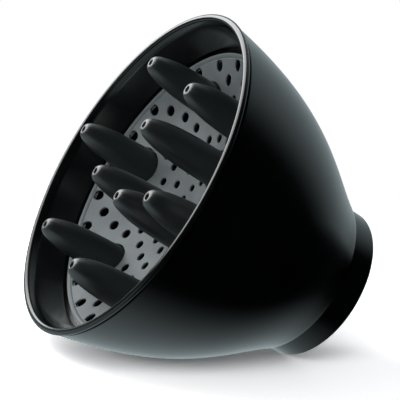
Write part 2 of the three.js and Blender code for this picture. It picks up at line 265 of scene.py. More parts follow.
def turned_bmesh(points, sides=ROUND):
    """A bmesh made by turning a closed outline about the Z axis."""
    bm = bmesh.new()
    rings = []
    for radius, z in points:
        if radius < TINY:
            rings.append([bm.verts.new((0, 0, z))])
            continue
        rings.append([bm.verts.new(polar(radius, 360 * i / sides, z)) for i in range(sides)])
    for ring, following in zip(rings, rings[1:] + rings[:1]):
        if len(ring) == 1 and len(following) == 1:
            continue
        for i in range(sides):
            j = (i + 1) % sides
            corners = [ring[i % len(ring)], ring[j % len(ring)]]
            corners += [following[j % len(following)], following[i % len(following)]]
            bm.faces.new(list(dict.fromkeys(corners)))
    return bm


def turned(name, outline, sides=ROUND):
    return new_object(name, turned_bmesh(filleted(outline), sides))


def rounded_prism(outline, low_z, high_z, edge=0.25, steps=3):
    """A bmesh of an (x, y) outline from low_z to high_z, with rounded top and bottom edges."""
    bm = bmesh.new()
    verts = [bm.verts.new((x, y, low_z)) for x, y in outline]
    base = bm.faces.new(verts)
    raised = bmesh.ops.extrude_face_region(bm, geom=[base])["geom"]
    top = [item for item in raised if isinstance(item, bmesh.types.BMVert)]
    bmesh.ops.translate(bm, vec=(0, 0, high_z - low_z), verts=top)
    bmesh.ops.recalc_face_normals(bm, faces=bm.faces)
    flat = [e for e in bm.edges if abs(e.verts[0].co.z - e.verts[1].co.z) < TINY]
    bmesh.ops.bevel(bm, geom=flat, offset=edge, segments=steps, profile=0.5, affect="EDGES")
    return bm


def arc(centre, radius, start, end, count):
    points = []
    for i in range(count + 1):
        angle = math.radians(start + (end - start) * i / count)
        points.append((centre[0] + radius * math.cos(angle), centre[1] + radius * math.sin(angle)))
    return points


def with_modifier(obj, kind, **settings):
    """Adds a modifier, applies it to the mesh and removes it."""
    modifier = obj.modifiers.new(kind.lower(), kind)
    for key, value in settings.items():
        setattr(modifier, key, value)
    graph = bpy.context.evaluated_depsgraph_get()
    result = bpy.data.meshes.new_from_object(obj.evaluated_get(graph))
    obj.modifiers.remove(modifier)
    old = obj.data
    obj.data = result
    bpy.data.meshes.remove(old)


def combine(base, parts, operation):
    """Joins the parts to the base or cuts them from it, and removes them."""
    for part in parts:
        with_modifier(base, "BOOLEAN", object=part, operation=operation, solver="EXACT")
        bpy.data.objects.remove(part, do_unlink=True)
    base.data.shade_smooth()
    base.data.set_sharp_from_angle(angle=math.radians(SHARP_ANGLE))


def weighted(obj):
    """Normals that follow the large faces, so that small fillets catch a clean highlight."""
    modifier = obj.modifiers.new("normals", "WEIGHTED_NORMAL")
    modifier.keep_sharp = True
    modifier.weight = 100


def finish_piece(obj, body, material, node):
    """Gives a piece its material and its body, and puts it in place of a CAD node."""
    if not obj.data.has_custom_normals:
        weighted(obj)
    obj.data.materials.clear()
    obj.data.materials.append(material)
    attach(obj, body)
    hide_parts(node)


# ---- shared curves ----


def bell_point(t, inset):
    """A point of the bell's outside, moved inwards by inset."""
    corners = [Vector(corner) for corner in BELL_CURVE]
    s = 1 - t
    weights = (s * s * s, 3 * s * s * t, 3 * s * t * t, t * t * t)
    point = sum((corner * weight for corner, weight in zip(corners, weights)), Vector((0, 0)))
    slopes = [corners[i + 1] - corners[i] for i in range(3)]
    tangent = (slopes[0] * s * s + slopes[1] * 2 * s * t + slopes[2] * t * t).normalized()
    return point + Vector((inset * tangent.y, -inset * tangent.x))


def turning_point(before):
    """The place from 0 to 1 where before(t) goes from true to false."""
    first, last = 0.0, 1.0
    while last - first > 1e-7:
        middle = (first + last) / 2
        if before(middle):
            first = middle
        else:
            last = middle
    return first


def bell_parameter(z, inset):
    return turning_point(lambda t: bell_point(t, inset).y > z)


def bell_height(radius):
    """Height at which the bell's inner wall has a radius."""
    place = turning_point(lambda t: bell_point(t, BELL_WALL).x > radius)
    return bell_point(place, BELL_WALL).y


def bell_points(low_z, high_z, inset, count):
    """Points on the bell's wall from one height up to another."""
    start = bell_parameter(low_z, inset)
    end = bell_parameter(high_z, inset)
    return [tuple(bell_point(start + (end - start) * i / count, inset)) for i in range(count + 1)]


def dish_z(radius, depth=0.0):
    sphere = DISH_SPHERE + depth
    return DISH_CENTRE_Z + DISH_SPHERE - math.sqrt(sphere * sphere - radius * radius)


def finger_radius(depth):
    swell = 1 - math.exp(-depth / FINGER_TAPER)
    return FINGER_TIP_RADIUS + (FINGER_BASE_RADIUS - FINGER_TIP_RADIUS) * swell


# ---- camera, light and floor ----

# The photograph's view, from a fit to it: degrees, then millimetres.
CAMERA_AZIMUTH = 95.717
CAMERA_ELEVATION = 26.712
CAMERA_ROLL = -58.92
CAMERA_DISTANCE = 498.9
CAMERA_AIM = Vector((-5.66, 3.73, 64.70))
CAMERA_LENS = 110.9
CAMERA_SENSOR = 36
CAMERA_CLIP = (0.01, 20)        # metres

# The object lies on its flank: the floor touches the collar's rear edge and the bell.
FLOOR_CONE = math.atan(0.4757)  # slope of the line that touches the collar and the bell
FLOOR_ANGLE = -80.4             # direction of the floor round the axis, in degrees
FLOOR_EDGE = Vector((COLLAR_RADIUS, 0))
FLOOR_CLEARANCE = 0.05
FLOOR_FADE = 260                # the floor fades out from this distance to its edge
FLOOR_RADIUS = 700
FLOOR_SIDES = 96

COOL_WHITE = (0.83, 1.0, 1.04)  # of the sweep, and of the floor's painted glow in reflections
PAPER_WHITE = (0.9, 0.9, 0.91)
SHADOW_WHITE = (0.97, 0.97, 1.0)
FLOOR_LIFT = 0.08               # light added to the paper, shadow included
FLOOR_EXPOSURE = 0.65           # extra brightness of the paper for the camera
PAINTED_GLOW_AZIMUTH = -45         # way the floor's painted glow in the object's reflections gets brighter
PAINTED_GLOW_START = -53           # distances along it from the contact, from dark to full
PAINTED_GLOW_END = -2
PAINTED_GLOW_LEVEL = 0.65

SWEEP_AZIMUTH = 6               # middle of the white sweep behind the object
SWEEP_ELEVATION = 30
SWEEP_EDGE = 0.30               # cosines of the angles where it fades out and where it is full
SWEEP_CORE = 0.85
SWEEP_LEVEL = 0.54
FILL_LEVEL = 0.3

MIDDLE = Vector((0, 0, 60))     # what the lights face
LIGHT_DISTANCE = 800


def make_camera():
    """Makes the camera, and returns the direction from the object back to it."""
    data = bpy.data.cameras.new("camera")
    camera = bpy.data.objects.new("camera", data)
    bpy.context.scene.collection.objects.link(camera)
    data.sensor_width = CAMERA_SENSOR
    data.lens = CAMERA_LENS
    azimuth = math.radians(CAMERA_AZIMUTH)
    elevation = math.radians(CAMERA_ELEVATION)
    back = Vector((math.sin(azimuth), -math.cos(azimuth), 0)) * math.cos(elevation)
    back.z = math.sin(elevation)
    camera.location = (CAMERA_AIM + back * CAMERA_DISTANCE) * MM
    roll = Quaternion((0, 0, 1), math.radians(CAMERA_ROLL))
    camera.rotation_mode = "QUATERNION"
    camera.rotation_quaternion = (-back).to_track_quat("-Z", "Y") @ roll
    data.clip_start, data.clip_end = CAMERA_CLIP
    bpy.context.scene.camera = camera
    return back


def studio_axes(back):
    """Right, away and up of the studio.

    Up is the floor's normal, and away is the camera's direction along the floor.
    """
    outward = polar(1, FLOOR_ANGLE)
    up = -(outward * math.cos(FLOOR_CONE) - Vector((0, 0, 1)) * math.sin(FLOOR_CONE))
    away = (-back + up * back.dot(up)).normalized()
    return away.cross(up), away, up


def studio_direction(azimuth, elevation):
    """A direction in the studio: azimuth 0 points away from the camera, 90 to its right."""
    turn, rise = math.radians(azimuth), math.radians(elevation)
    flat = studio_away * math.cos(turn) + studio_right * math.sin(turn)
    return flat * math.cos(rise) + studio_up * math.sin(rise)


def make_floor():
    contact = polar(FLOOR_EDGE.x, FLOOR_ANGLE, FLOOR_EDGE.y)
    bm = bmesh.new()
    bmesh.ops.create_circle(bm, cap_ends=True, segments=FLOOR_SIDES, radius=FLOOR_RADIUS)
    floor = new_object("floor", bm)
    axes = Matrix((studio_right, studio_away, studio_up)).transposed()
    floor.rotation_mode = "QUATERNION"
    floor.rotation_quaternion = axes.to_quaternion()
    floor.location = (contact - studio_up * FLOOR_CLEARANCE) * MM
    floor.data.materials.append(floor_material())


def add_node(tree, kind, **inputs):
    """A new node, with the inputs of the given names set."""
    node = tree.nodes.new(kind)
    for name, value in inputs.items():
        node.inputs[name].default_value = value
    return node


def join_shaders(tree, first, second, factor=None):
    """The sum of two shaders, or with a factor their mix: first at 0 and second at 1."""
    node = tree.nodes.new("ShaderNodeAddShader" if factor is None else "ShaderNodeMixShader")
    tree.links.new(first.outputs[0], node.inputs[-2])
    tree.links.new(second.outputs[0], node.inputs[-1])
    if factor is not None:
        tree.links.new(factor, node.inputs[0])
    return node


def dot_product(tree, value, direction):
    node = tree.nodes.new("ShaderNodeVectorMath")
    node.operation = "DOT_PRODUCT"
    node.inputs[1].default_value = direction
    tree.links.new(value, node.inputs[0])
    return node.outputs["Value"]


def floor_material():
    """White paper, seen from above only, that fades out far from the object.

    The camera sees it over-exposed, with its shadow lifted a little. Reflections in the object
    see a painted glow instead: an even sheet that glows on one side only, as if lit from there.
    """
    material = bpy.data.materials.new("floor")
    material.use_nodes = True
    tree = material.node_tree
    tree.nodes.clear()
    paper = add_node(tree, "ShaderNodeBsdfDiffuse", Color=(*PAPER_WHITE, 1))
    extra_colour = (FLOOR_EXPOSURE, FLOOR_EXPOSURE, FLOOR_EXPOSURE, 1)
    extra = add_node(tree, "ShaderNodeBsdfDiffuse", Color=extra_colour)
    lift = add_node(tree, "ShaderNodeEmission", Color=(*SHADOW_WHITE, 1), Strength=FLOOR_LIFT)
    # painted reflection: for glossy rays the floor glows, brighter on one side, in place of lit
    # paper and shade
    painted_glow = add_node(tree, "ShaderNodeEmission", Color=(*COOL_WHITE, 1))
    clear = add_node(tree, "ShaderNodeBsdfTransparent")
    place = add_node(tree, "ShaderNodeTexCoord").outputs["Object"]
    rays = add_node(tree, "ShaderNodeLightPath").outputs
    turn = math.radians(PAINTED_GLOW_AZIMUTH)
    along = dot_product(tree, place, (math.sin(turn), math.cos(turn), 0))
    start, end = PAINTED_GLOW_START * MM, PAINTED_GLOW_END * MM
    painted_glow_strength = smooth_spread(tree, along, start, end, 0, PAINTED_GLOW_LEVEL)
    tree.links.new(painted_glow_strength, painted_glow.inputs["Strength"])
    lifted = join_shaders(tree, join_shaders(tree, paper, extra), lift)
    exposed = join_shaders(tree, paper, lifted, rays["Is Camera Ray"])
    sheet = join_shaders(tree, exposed, painted_glow, rays["Is Glossy Ray"])
    distance = tree.nodes.new("ShaderNodeVectorMath")
    distance.operation = "LENGTH"
    tree.links.new(place, distance.inputs[0])
    fade = smooth_spread(tree, distance.outputs["Value"], FLOOR_FADE * MM, FLOOR_RADIUS * MM, 0, 1)
    gone = tree.nodes.new("ShaderNodeMath")
    gone.operation = "MAXIMUM"
    side = add_node(tree, "ShaderNodeNewGeometry")
    tree.links.new(side.outputs["Backfacing"], gone.inputs[0])
    tree.links.new(fade, gone.inputs[1])
    mix = join_shaders(tree, sheet, clear, gone.outputs[0])
    output = add_node(tree, "ShaderNodeOutputMaterial")
    tree.links.new(mix.outputs[0], output.inputs["Surface"])
    return material


def make_world():
    """A white sweep behind the object, dark on the near side, over an even fill.

    The camera sees plain white.
    """
    world = bpy.data.worlds.new("studio")
    bpy.context.scene.world = world
    world.use_nodes = True
    tree = world.node_tree
    tree.nodes.clear()
    place = add_node(tree, "ShaderNodeTexCoord").outputs["Generated"]
    rays = add_node(tree, "ShaderNodeLightPath").outputs
    facing = dot_product(tree, place, studio_direction(SWEEP_AZIMUTH, SWEEP_ELEVATION))
    level = smooth_spread(tree, facing, SWEEP_EDGE, SWEEP_CORE, 0, SWEEP_LEVEL)
    sweep = add_node(tree, "ShaderNodeBackground", Color=(*COOL_WHITE, 1))
    tree.links.new(level, sweep.inputs["Strength"])
    white = add_node(tree, "ShaderNodeBackground", Color=(1, 1, 1, 1), Strength=1.0)
    fill = add_node(tree, "ShaderNodeBackground", Color=(1, 1, 1, 1), Strength=FILL_LEVEL)
    filled = join_shaders(tree, sweep, fill, rays["Is Diffuse Ray"])
    mix = join_shaders(tree, filled, white, rays["Is Camera Ray"])
    output = add_node(tree, "ShaderNodeOutputWorld")
    tree.links.new(mix.outputs[0], output.inputs["Surface"])


def add_light(name, azimuth, elevation, width, height, radiance):
    """A rectangular soft box of an even radiance that faces the middle of the object."""
    direction = studio_direction(azimuth, elevation)
    data = bpy.data.lights.new(name, "AREA")
    data.shape = "RECTANGLE"
    data.size = width * MM
    data.size_y = height * MM
    data.energy = radiance * math.pi * width * height * MM * MM
    light = bpy.data.objects.new(name, data)
    bpy.context.scene.collection.objects.link(light)
    light.location = (MIDDLE + direction * LIGHT_DISTANCE) * MM
    sideways = studio_up.cross(direction).normalized()
    upright = direction.cross(sideways).normalized()
    light.rotation_mode = "QUATERNION"
    axes = Matrix((sideways, upright, direction)).transposed()
    light.rotation_quaternion = axes.to_quaternion()
    return light


# ---- materials ----


def principled(name):
    material = bpy.data.materials.new(name)
    material.use_nodes = True
    return material, material.node_tree, material.node_tree.nodes["Principled BSDF"]


def noise(tree, scale, detail=4.0, roughness=0.5):
    """Solid noise in object space; scale is the number of features per metre."""
    place = tree.nodes.new("ShaderNodeTexCoord")
    node = add_node(tree, "ShaderNodeTexNoise", Scale=scale, Detail=detail, Roughness=roughness)
    tree.links.new(place.outputs["Object"], node.inputs["Vector"])
    return node.outputs["Fac"]


def spread(tree, value, first, last, low_value=0, high_value=1):
    """Maps the stretch first to last of a value on to low_value to high_value."""
    node = tree.nodes.new("ShaderNodeMapRange")
    node.inputs["From Min"].default_value = first
    node.inputs["From Max"].default_value = last
    node.inputs["To Min"].default_value = low_value
    node.inputs["To Max"].default_value = high_value
    tree.links.new(value, node.inputs["Value"])
    return node.outputs["Result"]


def smooth_spread(tree, value, first, last, low_value, high_value):
    result = spread(tree, value, first, last, low_value, high_value)
    result.node.interpolation_type = "SMOOTHSTEP"
    return result


def blend_colours(tree, factor, first, last):
    node = tree.nodes.new("ShaderNodeMix")
    node.data_type = "RGBA"
    node.inputs["A"].default_value = (*first, 1)
    node.inputs["B"].default_value = (*last, 1)
    tree.links.new(factor, node.inputs["Factor"])
    return node.outputs["Result"]


def add_bump(tree, shader, height, distance):
    """Bump of a height field whose full range stands for distance metres."""
    node = add_node(tree, "ShaderNodeBump", Strength=1.0, Distance=distance)
    tree.links.new(height, node.inputs["Height"])
    tree.links.new(node.outputs["Normal"], shader.inputs["Normal"])


def moulded_plastic(name, dark, light, roughness, grain, grain_height, specular=0.5):
    """Plastic with a slight colour drift, uneven gloss and a fine surface grain.

    The grain is in features per metre, and its height is in metres.
    """
    material, tree, shader = principled(name)
    drift = spread(tree, noise(tree, scale=45, detail=3), 0.35, 0.65)
    tree.links.new(blend_colours(tree, drift, dark, light), shader.inputs["Base Color"])
    wear = noise(tree, scale=160, detail=5, roughness=0.6)
    tree.links.new(spread(tree, wear, 0.3, 0.7, *roughness), shader.inputs["Roughness"])
    shader.inputs["Specular IOR Level"].default_value = specular
    add_bump(tree, shader, noise(tree, scale=grain, detail=2), grain_height)
    return material


def add_coat(material, weight, roughness):
    shader = material.node_tree.nodes["Principled BSDF"]
    shader.inputs["Coat Weight"].default_value = weight
    shader.inputs["Coat Roughness"].default_value = roughness


def silver_paint(name):
    """Satin silver lacquer with fine metal flakes and soft patches."""
    material, tree, shader = principled(name)
    patch = spread(tree, noise(tree, scale=60, detail=4, roughness=0.55), 0.32, 0.68)
    base = blend_colours(tree, patch, (0.068, 0.079, 0.083), (0.092, 0.106, 0.11))
    flakes = add_node(tree, "ShaderNodeTexVoronoi", Scale=5200)
    place = tree.nodes.new("ShaderNodeTexCoord")
    tree.links.new(place.outputs["Object"], flakes.inputs["Vector"])
    sparkle = spread(tree, flakes.outputs["Distance"], 0.05, 0.6, 0.92, 1.06)
    scale = tree.nodes.new("ShaderNodeVectorMath")
    scale.operation = "SCALE"
    tree.links.new(base, scale.inputs[0])
    tree.links.new(sparkle, scale.inputs["Scale"])
    tree.links.new(scale.outputs[0], shader.inputs["Base Color"])
    shader.inputs["Metallic"].default_value = 0.15
    shader.inputs["Specular IOR Level"].default_value = 0.2
    wear = noise(tree, scale=240, detail=5, roughness=0.6)
    tree.links.new(spread(tree, wear, 0.3, 0.7, 0.4, 0.5), shader.inputs["Roughness"])
    add_bump(tree, shader, noise(tree, scale=2600, detail=2), 0.000012)
    return material


def plated_steel(name):
    """Zinc-plated steel with patchy colour and gloss."""
    material, tree, shader = principled(name)
    drift = spread(tree, noise(tree, scale=500, detail=3), 0.3, 0.7)
    colour = blend_colours(tree, drift, (0.52, 0.53, 0.55), (0.68, 0.69, 0.71))
    tree.links.new(colour, shader.inputs["Base Color"])
    shader.inputs["Metallic"].default_value = 1.0
    wear = noise(tree, scale=1200)
    tree.links.new(spread(tree, wear, 0.3, 0.7, 0.22, 0.38), shader.inputs["Roughness"])
    return material


# The colours are far darker than real plastic, because the photograph's blacks are near zero.
BLACK = {"dark": (0.0004, 0.0005, 0.0006), "light": (0.0006, 0.0008, 0.0009)}
RIM_BLACK = {"dark": (0.0011, 0.0014, 0.0015), "light": (0.0017, 0.0021, 0.0023)}
GREY_BLACK = {"dark": (0.0046, 0.006, 0.0063), "light": (0.0062, 0.0081, 0.0085)}
INNER_BLACK = {"dark": (0.012, 0.013, 0.0135), "light": (0.018, 0.0195, 0.02)}
GLOSS_BLACK = moulded_plastic(
    "gloss_black", **BLACK, roughness=(0.15, 0.2), grain=900, grain_height=0.000004)
SATIN_BLACK = moulded_plastic(
    "satin_black", **RIM_BLACK, roughness=(0.2, 0.26), grain=1200, grain_height=0.000006,
    specular=0.6)
BEAD_BLACK = moulded_plastic(
    "bead_black", **RIM_BLACK, roughness=(0.16, 0.2), grain=1200, grain_height=0.000006,
    specular=0.45)
CHARCOAL = moulded_plastic(
    "charcoal", **GREY_BLACK, roughness=(0.38, 0.46), grain=3200, grain_height=0.00001,
    specular=1.0)
DULL_BLACK = moulded_plastic(
    "dull_black", **INNER_BLACK, roughness=(0.45, 0.6), grain=2200, grain_height=0.00002,
    specular=0.4)
SILVER = silver_paint("silver_lacquer")
STEEL = plated_steel("zinc_plate")
add_coat(SATIN_BLACK, weight=1.0, roughness=0.16)


# ---- pieces ----


def make_bell():
    outside = bell_points(BELL_REAR_Z, BELL_TOP_Z, 0, BELL_STEPS[0])
    inside = bell_points(BELL_LIP_TOP_Z, BELL_TOP_Z, BELL_WALL, BELL_STEPS[1])[::-1]
    outline = [(*outside[0], 1.0)] + outside[BELL_REAR_STEPS:-1] + [(*outside[-1], 0.4)]
    outline += [(*inside[0], 0.3)] + inside[1:-1]
    outline += [(inside[-1][0], BELL_LIP_TOP_Z, 0.3)]
    outline += [(BELL_LIP_RADIUS, BELL_LIP_TOP_Z, 0.3), (BELL_LIP_RADIUS, BELL_REAR_Z, 0.3)]
    bell = turned("bell_shell_skin", outline)
    top = ARM_HIGH_Z - ARM_WALL - GAP
    combine(bell, [
        wall_boss(polar(BAFFLE_SCREW_RADIUS, angle), top, BAFFLE_BORE,
                  lambda radius: bell_height(radius) - BELL_WALL / 2)
        for angle in BAFFLE_SCREW_ANGLES
    ], "UNION")
    finish_piece(bell, "bell", GLOSS_BLACK, "bell_shell")


def wall_boss(centre, mouth_z, bore_depth, wall_z):
    """A screw boss with a blind bore, from its mouth to a curved wall.

    wall_z(radius) gives the wall's height.
    """
    way = 1 if wall_z(centre.length) > mouth_z else -1
    bm = bmesh.new()
    loops = [[], [], [], [], []]
    for i in range(BOSS_SIDES):
        angle = 360 * i / BOSS_SIDES
        side = centre + polar(BOSS_RADIUS, angle)
        face = centre + polar(BOSS_RADIUS - BOSS_EDGE, angle)
        bore = centre + polar(PILOT_RADIUS, angle)
        places = [
            (side, wall_z(math.hypot(side.x, side.y))), (side, mouth_z + way * BOSS_EDGE),
            (face, mouth_z), (bore, mouth_z), (bore, mouth_z + way * bore_depth),
        ]
        for loop, (place, z) in zip(loops, places):
            loop.append(bm.verts.new((place.x, place.y, z)))
    join_loops(bm, loops)
    bm.faces.new(loops[0])
    bm.faces.new(loops[-1])
    return new_object("boss", bm)


def rim_outline():
    bead = []
    for turn in BEAD_TURNS:
        angle = math.radians(turn)
        radius = RIM_RADIUS - BEAD_REACH + BEAD_REACH * math.cos(angle)
        bead.append((radius, BEAD_Z + BEAD_RADIUS * math.sin(angle)))
    wall = []
    start, bend, end = (Vector(corner) for corner in RIM_WALL)
    for i in range(RIM_WALL_STEPS + 1):
        t = i / RIM_WALL_STEPS
        wall.append(tuple(start * (1 - t) ** 2 + bend * 2 * t * (1 - t) + end * t * t))
    skirt = bell_points(LUG_LOW_Z, BELL_TOP_Z, BELL_WALL + GAP, 24)
    shoulder_radius, shoulder_fillet = RIM_SHOULDER
    shoulder = (shoulder_radius, BELL_TOP_Z + GAP, shoulder_fillet)
    outline = [(*skirt[0], 0.3)] + skirt[1:] + [shoulder] + bead + RIM_LEDGE
    outline += wall[:-1] + [(*wall[-1], 0.35)]
    low_z, high_z = RIM_SEAT_Z
    foot_radius = RIM_WALL[-1][0]
    outline += [(foot_radius, high_z, 0.2), (RIM_SEAT_RADIUS, high_z, 0.25)]
    outline += [(RIM_SEAT_RADIUS, low_z, 0.25), (RIM_SKIRT_RADIUS, RIM_SKIRT_TOP_Z, 0.5)]
    return outline + [(RIM_SKIRT_RADIUS, LUG_LOW_Z, 0.3)]


def bored(piece, radius, angles, low_z, high_z):
    """Drills a piece right through at a radius and at each of the angles."""
    bores = [bore_at(radius, angle, low_z - 1, high_z + 1) for angle in angles]
    combine(piece, bores, "DIFFERENCE")


def turned_about_axis(name, bm, angle):
    """A new object from a bmesh that is first turned about the Z axis."""
    bmesh.ops.rotate(bm, matrix=Matrix.Rotation(math.radians(angle), 3, "Z"), verts=bm.verts)
    return new_object(name, bm)


def make_rim():
    rim = turned("rim_ring_skin", rim_outline(), RIM_SIDES)
    lug_high_z = LUG_LOW_Z + LUG_WALL
    tongue = arc((PLATE_SCREW_RADIUS, 0), ARM_HALF_WIDTH, 90, 270, ARM_END_STEPS)
    tongue += [(LUG_ROOT_RADIUS, -ARM_HALF_WIDTH), (LUG_ROOT_RADIUS, ARM_HALF_WIDTH)]
    lugs = [turned_about_axis("lug", rounded_prism(tongue, LUG_LOW_Z, lug_high_z), angle)
            for angle in SCREW_ANGLES]
    combine(rim, lugs, "UNION")
    bored(rim, PLATE_SCREW_RADIUS, SCREW_ANGLES, LUG_LOW_Z, lug_high_z)
    finish_piece(rim, "bell", SATIN_BLACK, "rim_ring")
    rim.data.materials.append(BEAD_BLACK)
    for polygon in rim.data.polygons:
        on_wall = WALL_FOOT_Z * MM < polygon.center.z < BEAD_FOOT_Z * MM
        polygon.material_index = 0 if on_wall else 1


def bore_at(radius, angle, low_z, high_z):
    outline = [(0, low_z), (PILOT_RADIUS, low_z), (PILOT_RADIUS, high_z), (0, high_z)]
    bm = turned_bmesh(outline, BORE_SIDES)
    bmesh.ops.translate(bm, vec=polar(radius, angle), verts=bm.verts)
    return new_object("bore", bm)


def dish_holes():
    """Centre, radius and number of sides of every hole in the dish."""
    holes = []
    for radius, hole, angles in AIR_RINGS:
        for angle in angles:
            holes.append((polar(radius, angle), hole, AIR_HOLE_SIDES))
    for ring in (OUTER_FINGERS, INNER_FINGERS):
        for angle in ring["angles"]:
            centre = polar(ring["radius"], angle)
            holes.append((centre, FINGER_BASE_RADIUS + GAP, FINGER_HOLE_SIDES))
    return holes


def dish_pattern(holes, edge_radius):
    """Triangles of the dish seen from above, between its edge and the holes' chamfers.

    Returns the points, the triangles and the number of each hole's first point. The edge's points
    come first, then those of each hole.
    """
    points = [polar(edge_radius, 360 * i / DISH_SIDES).xy for i in range(DISH_SIDES)]
    edges = [(i, (i + 1) % DISH_SIDES) for i in range(DISH_SIDES)]
    loops = []
    for centre, radius, sides in holes:
        first = len(points)
        loops.append(first)
        reach = radius + DISH_CHAMFER
        points += [(centre + polar(reach, 360 * i / sides)).xy for i in range(sides)]
        edges += [(first + i, first + (i + 1) % sides) for i in range(sides)]
    margin = DISH_SPACING * 0.45    # kept free round a hole's loop
    for ring in range(int((edge_radius - DISH_SPACING) / DISH_SPACING) + 1):
        radius = ring * DISH_SPACING
        sides = max(1, round(2 * math.pi * radius / DISH_SPACING))
        for i in range(sides):
            point = polar(radius, 360 * (i + ring / 2) / sides)
            if all((point - c).length > r + DISH_CHAMFER + margin for c, r, _ in holes):
                points.append(point.xy)
    verts, _, faces, *_ = delaunay_2d_cdt(points, edges, [], 0, TINY)
    # A triangle's middle is nearer a hole's centre than this only if it lies inside the loop.
    reaches = []
    for centre, radius, sides in holes:
        bulge = 1 - math.cos(2 * math.pi / sides)
        reaches.append((centre.xy, (radius + DISH_CHAMFER) * (1 - 0.45 * bulge)))
    kept = []
    for face in faces:
        middle = sum((verts[i] for i in face), Vector((0, 0))) / len(face)
        inside = middle.length < edge_radius
        open_air = any((middle - centre).length < reach for centre, reach in reaches)
        if inside and not open_air:
            kept.append(face)
    return verts, kept, loops


def make_plate():
    holes = dish_holes()
    lip_inner = DISH_RADIUS - DISH_LIP_WIDTH
    verts, faces, loops = dish_pattern(holes, lip_inner - DISH_CREASE)
    bm = bmesh.new()
    front = [bm.verts.new((v.x, v.y, dish_z(v.length))) for v in verts]
    back = [bm.verts.new((v.x, v.y, dish_z(v.length, DISH_WALL))) for v in verts]
    for a, b, c in faces:
        bm.faces.new((front[a], front[b], front[c]))
        bm.faces.new((back[c], back[b], back[a]))
    for (centre, radius, sides), first in zip(holes, loops):
        around_hole = slice(first, first + sides)
        join_hole(bm, centre, radius, front[around_hole], back[around_hole])
    join_lip(bm, lip_inner, front[:DISH_SIDES], back[:DISH_SIDES])
    plate = new_object("diffuser_plate_skin", bm)
    foot = LUG_LOW_Z + LUG_WALL + GAP
    combine(plate, [
        wall_boss(polar(PLATE_SCREW_RADIUS, angle), foot, PLATE_BORE,
                  lambda radius: dish_z(radius, DISH_WALL / 2))
        for angle in SCREW_ANGLES
    ], "UNION")
    follow_sphere(plate)
    finish_piece(plate, "bell", SILVER, "diffuser_plate")
    # the holes' walls and the back are made dark
    dark_walls_and_back(plate)


def dark_walls_and_back(plate):
    """Makes the holes' walls and the back dark.

    Only the front, its chamfers and the lip are silver.
    """
    upward = 0.3                # least rise of the normal of a painted face
    mesh = plate.data
    mesh.materials.append(DULL_BLACK)
    for polygon in mesh.polygons:
        edge = math.hypot(polygon.center.x, polygon.center.y) / MM
        front = polygon.normal.z > upward and edge < DISH_RADIUS
        polygon.material_index = 0 if front or edge > DISH_RADIUS - DISH_LIP_WIDTH else 1


def follow_sphere(plate):
    """Sets the shading normals of the dish's two large faces to those of their spheres."""
    nearly = 0.02               # a vertex is on a sphere if it is this near to it
    mesh = plate.data
    centre = Vector((0, 0, DISH_CENTRE_Z + DISH_SPHERE)) * MM
    depths = [(vertex.co - centre).length / MM - DISH_SPHERE for vertex in mesh.vertices]
    normals = [corner.vector.copy() for corner in mesh.corner_normals]
    for polygon in mesh.polygons:
        for depth, facing in ((0.0, -1), (DISH_WALL, 1)):
            if all(abs(depths[v] - depth) < nearly for v in polygon.vertices):
                for corner in polygon.loop_indices:
                    spoke = mesh.vertices[mesh.loops[corner].vertex_index].co - centre
                    normals[corner] = facing * spoke.normalized()
    mesh.normals_split_custom_set(normals)


def join_loops(bm, loops):
    """Faces between successive loops of the same number of points."""
    for ring, following in zip(loops, loops[1:]):
        count = len(ring)
        for i in range(count):
            j = (i + 1) % count
            bm.faces.new((ring[i], ring[j], following[j], following[i]))


def join_hole(bm, centre, radius, front, back):
    """The wall of a hole that runs along Z, with a small chamfer at each end."""
    sides = len(front)
    upper, lower = [], []
    for i in range(sides):
        at = centre + polar(radius, 360 * i / sides)
        edge = math.hypot(at.x, at.y)
        upper.append(bm.verts.new((at.x, at.y, dish_z(edge) - DISH_CHAMFER)))
        lower.append(bm.verts.new((at.x, at.y, dish_z(edge, DISH_WALL) + DISH_CHAMFER)))
    join_loops(bm, [front, upper, lower, back])


def join_lip(bm, lip_inner, front, back):
    """The raised lip round the dish, from the front face over the edge to the back.

    Its section runs from the step at its inner edge, over the crown, to the back.
    """
    count = len(front)
    top = DISH_EDGE_Z
    start = dish_z(lip_inner)
    section = [
        (lip_inner - 0.12, start - 0.16),
        (lip_inner + 0.1, start - 0.12),
        (lip_inner + 0.22, start + 0.18),
        (lip_inner + 0.42, start + 0.36),
        (DISH_RADIUS - 0.75, top - 0.1),
        (DISH_RADIUS - 0.4, top),
        (DISH_RADIUS - 0.16, top - 0.06),
        (DISH_RADIUS - 0.03, top - 0.22),
        (DISH_RADIUS, top - 0.45),
        (DISH_RADIUS, dish_z(DISH_RADIUS, DISH_WALL) + 0.25),
        (DISH_RADIUS - 0.25, dish_z(DISH_RADIUS - 0.25, DISH_WALL)),
    ]
    loops = [front]
    for radius, z in section:
        loops.append([bm.verts.new(polar(radius, 360 * i / count, z)) for i in range(count)])
    join_loops(bm, loops + [back])


